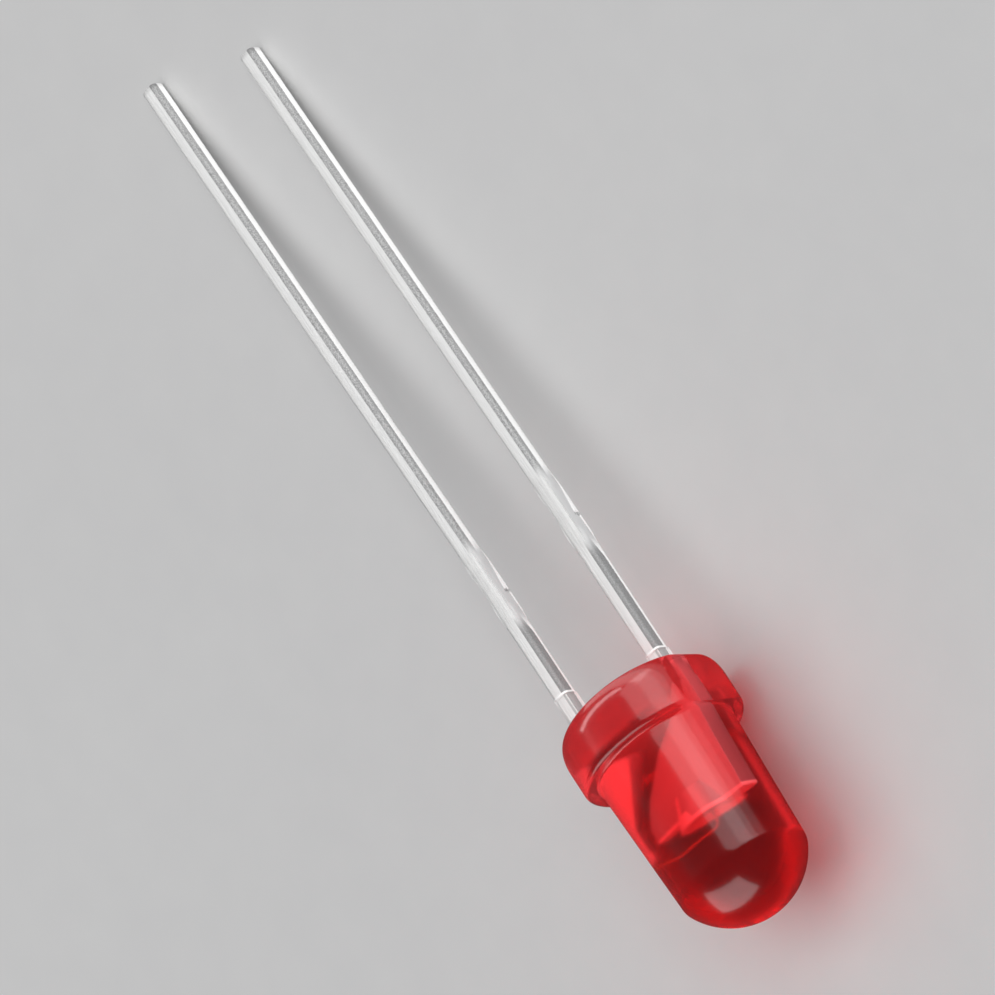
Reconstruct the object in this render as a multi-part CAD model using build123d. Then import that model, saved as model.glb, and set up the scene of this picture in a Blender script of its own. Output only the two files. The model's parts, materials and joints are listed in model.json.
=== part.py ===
from build123d import *
import os
from math import radians, tan

# Round 3 mm light emitting diode with two wire leads. Millimetres.
# Each piece is drawn with the body standing on its base plane: +Z along the optical axis to the dome,
# +X from the anode to the cathode, +Y through the thickness of the lead frame. At the end the whole
# diode is laid down as it comes to rest, on its flange rim and both lead tips.

# Cast body
flange_radius = 1.92
flange_thickness = 1.15
flange_base_round = 0.14
flange_top_round = 0.12
flat_depth = 0.2
barrel_root_radius = 1.615
barrel_top_radius = 1.5
barrel_root_round = 0.06
barrel_height = 3.25
dome_height = 1.01
dome_blend_round = 0.4

# Resin that climbs each lead under the flange
meniscus_foot_radius = 0.34
meniscus_lip_radius = 0.25
meniscus_height = 0.2
meniscus_hollow_share = 0.25

# Leads, stamped from one sheet
lead_pitch = 2.54
lead_off_axis = -0.095
lead_width = 0.4
sheet_thickness = 0.4
lead_corner_round = 0.11
anode_reach = 18.14
cathode_reach = 17.0
tip_edge_round = 0.05
tip_shear_round = 0.18

# Both leads lean away from the cathode side, and more so below the place where the tie bar was cropped off
lead_lean_degrees = 0.45
lead_set_degrees = 1.6
lead_set_radius = 100.0
tie_bar_depth = 4.32
tie_bar_length = 1.9
tie_bar_width = 0.37
tie_bar_crop_length = 1.1
tie_bar_crop_depth = 0.05

# Heads of the leads, inside the body
frame_height = 3.1
head_start = 0.35
head_corner_round = 0.05

# Outlines of the heads beyond the lead itself: shares of half the pitch and of the frame height
anvil_shares = [
    (0.354, 0.321),
    (0.0, 0.433),
    (-0.394, 0.656),
    (-0.545, 0.803),
    (-0.567, 0.925),
    (0.079, 0.925),
    (0.079, 1.0),
    (0.93, 1.0),
    (1.0, 0.56),
]
anvil_shoulder_share = 0.3
post_top_share = 0.967
post_inner_share = -0.69
post_outer_share = -0.92
post_shares = [
    (-0.31, 0.315),
    (-0.54, 0.56),
    (post_inner_share, 0.725),
    (post_inner_share, post_top_share),
    (post_outer_share, post_top_share),
    (-1.02, 0.5),
]
post_shoulder_share = 0.25

# Reflector cup on the anvil
cup_off_axis = 0.1
cup_foot_radius = 0.34
cup_rim_radius = 0.52
cup_wall_height = 0.7
cup_mouth_radius = 0.42
cup_floor_radius = 0.26
cup_depth = 0.34

# Chip, its adhesive and its bond wire
attach_margin = 0.02
attach_thickness = 0.03
attach_flare = 0.03
chip_side = 0.28
chip_height = 0.2
wire_radius = 0.016
wire_bend_radius = 0.14
wire_loop_height = 0.42
ball_radius = 0.045
ball_height = 0.03
stitch_radius = 0.055
stitch_height = 0.04
# Corners of the wire's loop: shares of the way to the post and of the loop height
loop_shares = [(0.0, 1.0), (0.66, 0.86)]

cut_overrun = 0.5

# Places that follow from the sizes above
half_pitch = lead_pitch / 2
half_lead = lead_width / 2
anode_at = lead_off_axis - half_pitch
cathode_at = lead_off_axis + half_pitch
body_height = flange_thickness + barrel_height + dome_height
cup_floor = frame_height - cup_depth
chip_base = cup_floor + attach_thickness
chip_top = chip_base + chip_height
post_top = post_top_share * frame_height
post_middle = (post_inner_share + post_outer_share) / 2 * half_pitch


def flange():
    """The flange, a disc with its flat on the cathode side."""
    beyond_flat = Pos(2 * flange_radius - flat_depth, 0) * Rectangle(2 * flange_radius, 2 * flange_radius)
    disc = extrude(Circle(flange_radius) - beyond_flat, flange_thickness)
    disc = fillet(disc.edges().group_by(Axis.Z)[0], flange_base_round)
    return fillet(disc.edges().group_by(Axis.Z)[-1], flange_top_round)


def barrel():
    """The tapered barrel with its dome, turned about the optical axis."""
    root = flange_thickness
    dome_start = root + barrel_height
    dome_radius = (barrel_top_radius**2 + dome_height**2) / (2 * dome_height)
    foot = barrel_root_radius + barrel_root_round
    outline = Polyline((0, root / 2), (foot, root / 2), (foot, root))
    outline += RadiusArc((foot, root), (barrel_root_radius, root + barrel_root_round), barrel_root_round)
    outline += Line((barrel_root_radius, root + barrel_root_round), (barrel_top_radius, dome_start))
    outline += RadiusArc((barrel_top_radius, dome_start), (0, body_height), -dome_radius)
    outline += Line((0, body_height), (0, root / 2))
    profile = make_face(outline)
    edge_of_dome = profile.vertices().sort_by_distance((barrel_top_radius, dome_start))[0]
    profile = fillet(edge_of_dome, dome_blend_round)
    return revolve(Plane.XZ * profile, Axis.Z)


def meniscus(lead_at):
    """The concave collar of resin round one lead."""
    lip, foot = meniscus_lip_radius, meniscus_foot_radius
    outline = Polyline((0, -meniscus_height), (0, head_start), (lip, head_start), (lip, 0), (foot, 0))
    outline += SagittaArc((foot, 0), (lip, -meniscus_height), -(foot - lip) * meniscus_hollow_share)
    outline += Line((lip, -meniscus_height), (0, -meniscus_height))
    return Pos(lead_at, 0, 0) * revolve(Plane.XZ * make_face(outline), Axis.Z)


def bend_at(lead_at):
    """How far from the axis the middle of a lead is at its tie bar."""
    return lead_at - tie_bar_depth * tan(radians(lead_lean_degrees))


def lead_path(lead_at, reach):
    """Centre line of one lead, from its head down to its tip."""
    rise = head_start + half_lead
    top = (lead_at + rise * tan(radians(lead_lean_degrees)), 0, rise)
    bend = (bend_at(lead_at), 0, -tie_bar_depth)
    tip = (bend_at(lead_at) - (reach - tie_bar_depth) * tan(radians(lead_set_degrees)), 0, -reach)
    return FilletPolyline(top, bend, tip, radius=lead_set_radius)


def stem(lead_at, reach):
    """One lead as a coined wire, sheared at its tip and cropped where the tie bar was."""
    path = lead_path(lead_at, reach)
    start = Plane(origin=path @ 0, x_dir=(1, 0, 0), z_dir=path % 0)
    wire = sweep(start * RectangleRounded(lead_width, sheet_thickness, lead_corner_round), path=path)
    wire = fillet(wire.faces().sort_by(Axis.Z)[0].edges(), tip_edge_round)
    at_tip = Plane(origin=path @ 1, x_dir=(1, 0, 0), z_dir=path % 1).location
    wire -= at_tip * tip_shear()
    at_bar = Pos(bend_at(lead_at), 0, -tie_bar_depth)
    wire += at_bar * Box(tie_bar_width, tie_bar_width, tie_bar_length)
    return wire - at_bar * tie_bar_crops()


def tip_shear():
    """What the shear rounds off one corner of a tip. Z points out of the tip."""
    inner = tip_shear_round - half_lead
    block = Box(
        tip_shear_round + cut_overrun,
        sheet_thickness + cut_overrun,
        tip_shear_round + cut_overrun,
        align=(Align.MAX, Align.CENTER, Align.MIN),
    )
    roller = Rot(90, 0, 0) * Cylinder(tip_shear_round, sheet_thickness + 2 * cut_overrun)
    return Pos(inner, 0, -tip_shear_round) * (block - roller)


def tie_bar_crops():
    """Two shallow scoops, one each side of a lead, where the tie bar was cropped off."""
    half_length = tie_bar_crop_length / 2
    scoop_radius = (half_length**2 + tie_bar_crop_depth**2) / (2 * tie_bar_crop_depth)
    scoop = Rot(90, 0, 0) * Cylinder(scoop_radius, sheet_thickness + 2 * cut_overrun)
    out = half_lead - tie_bar_crop_depth + scoop_radius
    return Pos(out, 0, 0) * scoop + Pos(-out, 0, 0) * scoop


def head_plate(inner_edge, outer_edge, shares, shoulder_share):
    """A flat stamped head, from the lead's two edges up and round its own outline."""
    points = [(inner_edge, head_start)]
    points += [(across * half_pitch, up * frame_height) for across, up in shares]
    points += [(outer_edge, shoulder_share * frame_height), (outer_edge, head_start)]
    outline = make_face(Polyline(*points, close=True))
    outline = fillet(outline.vertices(), head_corner_round)
    return extrude(Plane.XZ * outline, sheet_thickness / 2, both=True)


def reflector_cup():
    """The cup's outer cone, standing on the anvil."""
    standing = (Align.CENTER, Align.CENTER, Align.MIN)
    cone = Cone(cup_foot_radius, cup_rim_radius, cup_wall_height, align=standing)
    return Pos(cup_off_axis, 0, frame_height - cup_wall_height) * cone


def cup_hollow():
    """The dished space in the cup, run out above its rim."""
    flare = (cup_mouth_radius - cup_floor_radius) / cup_depth
    height = cup_depth + cut_overrun
    mouth = cup_floor_radius + flare * height
    cone = Cone(cup_floor_radius, mouth, height, align=(Align.CENTER, Align.CENTER, Align.MIN))
    return Pos(cup_off_axis, 0, cup_floor) * cone


def anode_lead():
    """The long lead and its post."""
    head = head_plate(anode_at + half_lead, anode_at - half_lead, post_shares, post_shoulder_share)
    return stem(anode_at, anode_reach) + head


def cathode_lead():
    """The short lead, its anvil and its reflector cup."""
    head = head_plate(cathode_at - half_lead, cathode_at + half_lead, anvil_shares, anvil_shoulder_share)
    return stem(cathode_at, cathode_reach) + head + reflector_cup() - cup_hollow()


def die_attach():
    """The dab of conductive adhesive on the cup's floor."""
    foot = cup_floor_radius - attach_margin
    dab = Cone(foot, foot - attach_flare, attach_thickness, align=(Align.CENTER, Align.CENTER, Align.MIN))
    return Pos(cup_off_axis, 0, cup_floor) * dab


def led_chip():
    """The die, a plain block on the adhesive."""
    block = Box(chip_side, chip_side, chip_height, align=(Align.CENTER, Align.CENTER, Align.MIN))
    return Pos(cup_off_axis, 0, chip_base) * block


def bond_wire():
    """The gold wire, with its ball on the chip and its stitch on the post."""
    span = post_middle - cup_off_axis
    start = (cup_off_axis, 0, chip_top + ball_height / 2)
    loop = [(cup_off_axis + way * span, 0, chip_top + up * wire_loop_height) for way, up in loop_shares]
    end = (post_middle, 0, post_top + stitch_height / 2)
    path = FilletPolyline(start, *loop, end, radius=wire_bend_radius)
    section = Plane(origin=path @ 0, z_dir=path % 0) * Circle(wire_radius)
    standing = (Align.CENTER, Align.CENTER, Align.MIN)
    wire = sweep(section, path=path)
    wire += Pos(cup_off_axis, 0, chip_top) * Cylinder(ball_radius, ball_height, align=standing)
    wire += Pos(post_middle, 0, post_top) * Cylinder(stitch_radius, stitch_height, align=standing)
    return wire


def lens_body(inserts):
    """The cast resin, which fills all the space round the pieces in it."""
    cast = flange() + barrel() + meniscus(anode_at) + meniscus(cathode_at)
    for insert in inserts:
        cast -= insert
    return cast


def resting_plane():
    """The surface that the diode lies on: under the flange's rim and both lead tips."""
    rim = Vector(0, -flange_radius, flange_base_round)
    under = Vector(0, sheet_thickness / 2, 0)
    anode_tip = lead_path(anode_at, anode_reach) @ 1 - under
    cathode_tip = lead_path(cathode_at, cathode_reach) @ 1 - under
    upward = (cathode_tip - rim).cross(anode_tip - rim)
    return Plane(origin=rim, x_dir=(0, 0, 1), z_dir=upward)


def lay_down(pieces):
    """All pieces at rest, with the origin under the middle of the whole diode."""
    floor = resting_plane()
    laid = {name: floor.to_local_coords(piece) for name, piece in pieces.items()}
    boxes = [piece.bounding_box() for piece in laid.values()]
    middle_x = (min(box.min.X for box in boxes) + max(box.max.X for box in boxes)) / 2
    middle_y = (min(box.min.Y for box in boxes) + max(box.max.Y for box in boxes)) / 2
    lowest = min(box.min.Z for box in boxes)
    return {name: Pos(-middle_x, -middle_y, -lowest) * piece for name, piece in laid.items()}


pieces = {
    "anode_lead": anode_lead(),
    "cathode_lead": cathode_lead(),
    "die_attach": die_attach(),
    "led_chip": led_chip(),
    "bond_wire": bond_wire(),
}
pieces["lens_body"] = lens_body(list(pieces.values()))

os.makedirs("parts", exist_ok=True)
for name, piece in lay_down(pieces).items():
    export_step(piece, f"parts/{name}.step")
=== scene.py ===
import json
import math

import bmesh
import bpy
from mathutils import Matrix, Vector


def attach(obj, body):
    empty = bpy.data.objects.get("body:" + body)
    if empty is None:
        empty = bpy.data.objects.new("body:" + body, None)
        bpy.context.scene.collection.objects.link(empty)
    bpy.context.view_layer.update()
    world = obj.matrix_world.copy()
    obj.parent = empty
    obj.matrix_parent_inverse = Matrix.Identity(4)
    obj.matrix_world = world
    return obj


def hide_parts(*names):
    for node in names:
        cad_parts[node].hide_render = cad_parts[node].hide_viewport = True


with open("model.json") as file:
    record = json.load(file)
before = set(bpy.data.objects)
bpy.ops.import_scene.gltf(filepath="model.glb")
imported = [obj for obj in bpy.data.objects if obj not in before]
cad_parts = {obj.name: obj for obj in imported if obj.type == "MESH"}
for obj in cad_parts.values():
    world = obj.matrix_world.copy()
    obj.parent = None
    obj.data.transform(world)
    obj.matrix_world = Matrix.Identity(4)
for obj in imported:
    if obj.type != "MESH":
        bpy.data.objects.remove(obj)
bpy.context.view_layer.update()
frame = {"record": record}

mm = 0.001
farOff = 1000.0  # mm, further out than anything on the diode
weldReach = 0.0002  # mm, points closer than this become one
allSmooth = 180  # degrees, so that no edge is sharp
dressed = bpy.data.collections.new("dressed")  # what the flagged softboxes light

# The diode's own axes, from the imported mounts: X to the dome, Y to the flat, Z through the lead frame
mounts = {mount["name"]: mount for mount in frame["record"]["mounts"]}
seatCentre = Vector(mounts["seat"]["pos_m"])
axisDome = -Vector(mounts["seat"]["axis"]).normalized()
axisFlat = Vector(mounts["cathode_flat"]["axis"]).normalized()
axisFace = axisDome.cross(axisFlat).normalized()
axisFlat = axisFace.cross(axisDome)
diodeTurn = Matrix((axisDome, axisFlat, axisFace)).transposed()
diodeToRow = Matrix.Translation(seatCentre) @ diodeTurn.to_4x4() @ Matrix.Scale(mm, 4)  # mm in, metres out

scene = bpy.context.scene
scene.view_settings.view_transform = "Standard"
scene.cycles.max_bounces = 24  # light turns often inside the lens
scene.cycles.glossy_bounces = 16
scene.cycles.transmission_bounces = 24
scene.cycles.volume_bounces = 1


# Small helpers for node trees

def addNode(tree, kind, **settings):
    node = tree.nodes.new(kind)
    for key, value in settings.items():
        setattr(node, key, value)
    return node


def feed(tree, socket, value):  # a number, a colour or another node's output
    if isinstance(value, bpy.types.NodeSocket):
        tree.links.new(value, socket)
    else:
        socket.default_value = value


def feedAll(tree, node, *values):  # sockets in their order
    for socket, value in zip(node.inputs, values):
        feed(tree, socket, value)
    return node.outputs


def fill(tree, node, **values):  # sockets by name, without its spaces
    for name, value in values.items():
        feed(tree, next(s for s in node.inputs if s.name.replace(" ", "") == name), value)
    return node.outputs


def calc(tree, operation, *values):
    return feedAll(tree, addNode(tree, "ShaderNodeMath", operation=operation), *values)[0]


def plus(tree, first, second):
    return calc(tree, "ADD", first, second)


def minus(tree, first, second):
    return calc(tree, "SUBTRACT", first, second)


def times(tree, first, second):
    return calc(tree, "MULTIPLY", first, second)


def splitUp(tree, vector):
    return feedAll(tree, addNode(tree, "ShaderNodeSeparateXYZ"), vector)


def addPorts(tree, inputs, outputs):
    for name, kind in inputs:
        tree.interface.new_socket(name, in_out="INPUT", socket_type="NodeSocket" + kind)
    for name, kind in outputs:
        tree.interface.new_socket(name, in_out="OUTPUT", socket_type="NodeSocket" + kind)
    return addNode(tree, "NodeGroupInput").outputs, addNode(tree, "NodeGroupOutput").inputs


# Small helpers for meshes

def putObject(name, mesh):
    piece = bpy.data.objects.new(name, mesh)
    scene.collection.objects.link(piece)
    return piece


def lineMesh(points):
    mesh = bpy.data.meshes.new("line")
    mesh.from_pydata(points, [(i, i + 1) for i in range(len(points) - 1)], [])
    return mesh


def bakedMesh(piece):  # what the modifiers make, as a plain mesh; the helper object goes
    bpy.context.view_layer.update()
    graph = bpy.context.evaluated_depsgraph_get()
    mesh = bpy.data.meshes.new_from_object(piece.evaluated_get(graph))
    piece.modifiers.clear()
    bpy.data.objects.remove(piece)
    return mesh


def runTree(tree, mesh, **inputs):
    piece = putObject("treeHelper", mesh)
    modifier = piece.modifiers.new("tree", "NODES")
    modifier.node_group = tree
    sockets = {item.name.replace(" ", ""): item.identifier for item in tree.interface.items_tree}
    for name, value in inputs.items():
        modifier[sockets[name]] = value
    return bakedMesh(piece)


def combine(base, tool, operation="UNION"):
    piece = putObject("baseHelper", base)
    other = putObject("toolHelper", tool)
    cut = piece.modifiers.new("cut", "BOOLEAN")
    cut.object = other
    cut.operation = operation
    cut.solver = "EXACT"
    mesh = bakedMesh(piece)
    bpy.data.objects.remove(other)
    return mesh


def moved(mesh, x=0.0, y=0.0, z=0.0):
    mesh.transform(Matrix.Translation((x, y, z)))
    return mesh


def tidyMesh(mesh, sharpDegrees):
    form = bmesh.new()
    form.from_mesh(mesh)
    bmesh.ops.remove_doubles(form, verts=form.verts, dist=weldReach)
    bmesh.ops.dissolve_degenerate(form, edges=form.edges, dist=weldReach / 2)
    bmesh.ops.recalc_face_normals(form, faces=form.faces)
    form.to_mesh(mesh)
    form.free()
    mesh.polygons.foreach_set("use_smooth", [True] * len(mesh.polygons))
    mesh.set_sharp_from_angle(angle=math.radians(sharpDegrees))
    return mesh


def finishPiece(name, mesh, material, nodes):
    mesh.transform(diodeToRow)
    mesh.materials.clear()
    mesh.materials.append(material)
    mesh.polygons.foreach_set("material_index", [0] * len(mesh.polygons))
    mesh.update()
    piece = putObject(name, mesh)
    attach(piece, "root")
    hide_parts(*nodes)
    dressed.objects.link(piece)
    return piece


def arcPoints(centre, radius, startDegrees, endDegrees, steps):
    turns = [math.radians(startDegrees + (endDegrees - startDegrees) * i / steps) for i in range(steps + 1)]
    return [(centre[0] + radius * math.cos(t), centre[1] + radius * math.sin(t)) for t in turns]


def runPoints(start, end, steps):  # even points between two, both left out
    return [tuple(a + (b - a) * i / steps for a, b in zip(start, end)) for i in range(1, steps)]


# Geometry trees: a turned skin with an optional flat, and a section drawn along a path

def endTree(tree, geometry, material, made):  # real faces that carry their material
    real = fill(tree, addNode(tree, "GeometryNodeRealizeInstances"), Geometry=geometry)[0]
    painted = fill(tree, addNode(tree, "GeometryNodeSetMaterial"), Geometry=real, Material=material)
    feed(tree, made, painted[0])


def buildTurnedSkin():
    tree = bpy.data.node_groups.new("turnedSkin", "GeometryNodeTree")
    given, made = addPorts(
        tree,
        [("Profile", "Geometry"), ("Steps Round", "Int"), ("Flat Distance", "Float"),
         ("Flat Length", "Float"), ("Material", "Material")],
        [("Skin", "Geometry")],
    )
    count = addNode(tree, "GeometryNodeAttributeDomainSize", component="MESH")
    rows = fill(tree, count, Geometry=given["Profile"])["Point Count"]
    columns = plus(tree, given["Steps Round"], 1.0)
    grid = fill(tree, addNode(tree, "GeometryNodeMeshGrid"), VerticesX=columns, VerticesY=rows)
    index = addNode(tree, "GeometryNodeInputIndex").outputs[0]
    column = calc(tree, "FLOOR", calc(tree, "DIVIDE", plus(tree, index, 0.5), rows))
    row = minus(tree, index, times(tree, column, rows))
    position = addNode(tree, "GeometryNodeInputPosition").outputs[0]
    sample = addNode(tree, "GeometryNodeSampleIndex", data_type="FLOAT_VECTOR", domain="POINT")
    onProfile = splitUp(tree, feedAll(tree, sample, given["Profile"], position, row)[0])
    turn = times(tree, calc(tree, "DIVIDE", column, given["Steps Round"]), math.tau)
    across = times(tree, onProfile["Y"], calc(tree, "COSINE", turn))
    through = times(tree, onProfile["Y"], calc(tree, "SINE", turn))
    past = calc(tree, "GREATER_THAN", onProfile["X"], given["Flat Length"])
    limit = plus(tree, given["Flat Distance"], times(tree, past, farOff))
    across = calc(tree, "MINIMUM", across, limit)
    place = fill(tree, addNode(tree, "ShaderNodeCombineXYZ"), X=onProfile["X"], Y=across, Z=through)
    put = fill(tree, addNode(tree, "GeometryNodeSetPosition"), Geometry=grid["Mesh"], Position=place[0])
    merge = fill(tree, addNode(tree, "GeometryNodeMergeByDistance"), Geometry=put[0], Distance=weldReach)
    endTree(tree, merge[0], given["Material"], made["Skin"])
    return tree


def buildDrawnSection():
    tree = bpy.data.node_groups.new("drawnSection", "GeometryNodeTree")
    given, made = addPorts(
        tree,
        [("Path", "Geometry"), ("Width", "Float"), ("Thickness", "Float"), ("Corner Round", "Float"),
         ("Corner Steps", "Int"), ("Material", "Material")],
        [("Drawn", "Geometry")],
    )
    path = fill(tree, addNode(tree, "GeometryNodeMeshToCurve"), Mesh=given["Path"])
    upright = fill(tree, addNode(tree, "GeometryNodeSetCurveNormal", mode="Z_UP"), Curve=path[0])
    section = addNode(tree, "GeometryNodeCurvePrimitiveQuadrilateral", mode="RECTANGLE")
    fill(tree, section, Width=given["Width"], Height=given["Thickness"])
    rounded = addNode(tree, "GeometryNodeFilletCurve", mode="POLY")
    fill(tree, rounded, Curve=section.outputs[0], Count=given["Corner Steps"],
         Radius=given["Corner Round"], LimitRadius=True)
    sweep = addNode(tree, "GeometryNodeCurveToMesh")
    fill(tree, sweep, Curve=upright[0], ProfileCurve=rounded.outputs[0], FillCaps=True)
    endTree(tree, sweep.outputs[0], given["Material"], made["Drawn"])
    return tree


turnedSkin = buildTurnedSkin()
drawnSection = buildDrawnSection()
print("geometry trees built")


def turned(profile, material, steps, flatDistance=farOff, flatLength=0.0):  # profile of (along, radius) in mm
    line = lineMesh([(along, radius, 0.0) for along, radius in profile])
    return runTree(turnedSkin, line, StepsRound=steps, FlatDistance=flatDistance,
                   FlatLength=flatLength, Material=material)


def drawn(points, width, thickness, cornerRound, cornerSteps, material):
    return runTree(drawnSection, lineMesh(points), Width=width, Thickness=thickness,
                   CornerRound=cornerRound, CornerSteps=cornerSteps, Material=material)


# Shader groups that several finishes share

noiseLook = dict(middle=(0.3, 0.7), patchShare=0.65, patchDetail=3.0, lineDetail=4.0)


def addNoise(tree, vector, scale, detail=2.0):
    return fill(tree, addNode(tree, "ShaderNodeTexNoise"), Vector=vector, Scale=scale, Detail=detail)[0]


def spreadNoise(tree, value, low, high):  # noise keeps near its middle, so it is spread out
    start, end = noiseLook["middle"]
    spread = addNode(tree, "ShaderNodeMapRange")
    return fill(tree, spread, Value=value, FromMin=start, FromMax=end, ToMin=low, ToMax=high)[0]


def buildSpeckle():  # soft uneven patches with fine specks over them
    tree = bpy.data.node_groups.new("speckle", "ShaderNodeTree")
    given, made = addPorts(
        tree,
        [("Vector", "Vector"), ("Patch Scale", "Float"), ("Speck Scale", "Float"),
         ("Low", "Float"), ("High", "Float")],
        [("Value", "Float"), ("Specks", "Float")],
    )
    patch = addNoise(tree, given["Vector"], given["Patch Scale"], noiseLook["patchDetail"])
    speck = addNoise(tree, given["Vector"], given["Speck Scale"])
    share = noiseLook["patchShare"]
    both = plus(tree, times(tree, patch, share), times(tree, speck, 1 - share))
    feed(tree, made["Value"], spreadNoise(tree, both, given["Low"], given["High"]))
    feed(tree, made["Specks"], speck)
    return tree


def buildDrawLines():  # long faint lines that run along the diode's X
    tree = bpy.data.node_groups.new("drawLines", "ShaderNodeTree")
    given, made = addPorts(
        tree,
        [("Vector", "Vector"), ("Along Scale", "Float"), ("Across Scale", "Float"),
         ("Low", "Float"), ("High", "Float")],
        [("Value", "Float")],
    )
    stretch = addNode(tree, "ShaderNodeCombineXYZ")
    feedAll(tree, stretch, given["Along Scale"], given["Across Scale"], given["Across Scale"])
    scaled = addNode(tree, "ShaderNodeVectorMath", operation="MULTIPLY")
    feedAll(tree, scaled, given["Vector"], stretch.outputs[0])
    lines = addNoise(tree, scaled.outputs[0], 1.0, noiseLook["lineDetail"])
    feed(tree, made["Value"], spreadNoise(tree, lines, given["Low"], given["High"]))
    return tree


speckle = buildSpeckle()
drawLines = buildDrawLines()


def useGroup(tree, group, low=0.0, high=1.0, **values):
    return fill(tree, addNode(tree, "ShaderNodeGroup", node_tree=group), Low=low, High=high, **values)


def newFinish(name):
    finish = bpy.data.materials.new(name)
    finish.use_nodes = True
    tree = finish.node_tree
    tree.nodes.clear()
    out = addNode(tree, "ShaderNodeOutputMaterial")
    skin = addNode(tree, "ShaderNodeBsdfPrincipled")
    tree.links.new(skin.outputs[0], out.inputs["Surface"])
    return finish, tree, skin, out


def diodeCoords(tree):  # Object coordinates turned into the diode's own axes, in mm
    place, turn, scale = diodeToRow.inverted().decompose()
    coords = addNode(tree, "ShaderNodeTexCoord").outputs["Object"]
    mapped = addNode(tree, "ShaderNodeMapping", vector_type="POINT")
    return fill(tree, mapped, Vector=coords, Location=place, Rotation=turn.to_euler(), Scale=scale)[0]


def mixColour(tree, factor, first, second):
    mix = addNode(tree, "ShaderNodeMix", data_type="RGBA")
    feed(tree, mix.inputs[0], factor)
    feed(tree, mix.inputs[6], first)
    feed(tree, mix.inputs[7], second)
    return mix.outputs[2]


def stepUp(tree, value, low, high, toLow=0.0, toHigh=1.0):  # smooth ramp
    ramp = addNode(tree, "ShaderNodeMapRange", interpolation_type="SMOOTHSTEP")
    return fill(tree, ramp, Value=value, FromMin=low, FromMax=high, ToMin=toLow, ToMax=toHigh)[0]


def towards(tree, axis):  # how far the surface faces along an axis, from -1 to 1
    dot = addNode(tree, "ShaderNodeVectorMath", operation="DOT_PRODUCT")
    normal = addNode(tree, "ShaderNodeNewGeometry").outputs["Normal"]
    return feedAll(tree, dot, normal, axis)["Value"]


def addBump(tree, skin, height, strength, distance):
    bump = fill(tree, addNode(tree, "ShaderNodeBump"), Strength=strength, Distance=distance, Height=height)
    feed(tree, skin.inputs["Normal"], bump[0])


# Cast resin: a clear skin over a faintly cloudy body, frosted on the poured base face

resinLook = dict(
    clearTint=(1.0, 0.092, 0.112, 1.0), cloudTint=(1.0, 0.062, 0.076, 1.0), cloudScale=0.9, index=1.53,
    patchScale=1.3, speckScale=14.0, smooth=0.18, hazy=0.24, frosted=0.75, baseFacing=(0.75, 0.95),
    coatRough=0.02, coatIndex=1.38, coatGrazing=(0.97, 0.66),  # no coat at the very rim, which keeps its red
    absorbColour=(1.0, 0.0, 0.03, 1.0), absorbDensity=480.0,
    scatterColour=(1.0, 0.45, 0.45, 1.0), scatterForward=0.2,
    scatterAlong=(0.7, 1.5, 340.0, 45.0),  # cloudy in the flange, clearer from there to the dome
    # painted shade in the flange: a dark band for the dark image seen through it
    flowTint=(0.12, 0.012, 0.016, 1.0), flowWander=0.25, flowStart=(0.84, 1.02), flowEnd=(1.17, 1.14),
    flowLeft=(-0.9, -0.5), flowRight=(1.5, 0.95), flowFront=(0.4, 1.2, 0.2, 1.0), flowPatchy=0.8,
    shadeInside=(1.0, 0.90, 0.90, 1.0), shadeOutside=(0.16, 0.02, 0.02, 1.0),  # light let in and through
)


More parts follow.
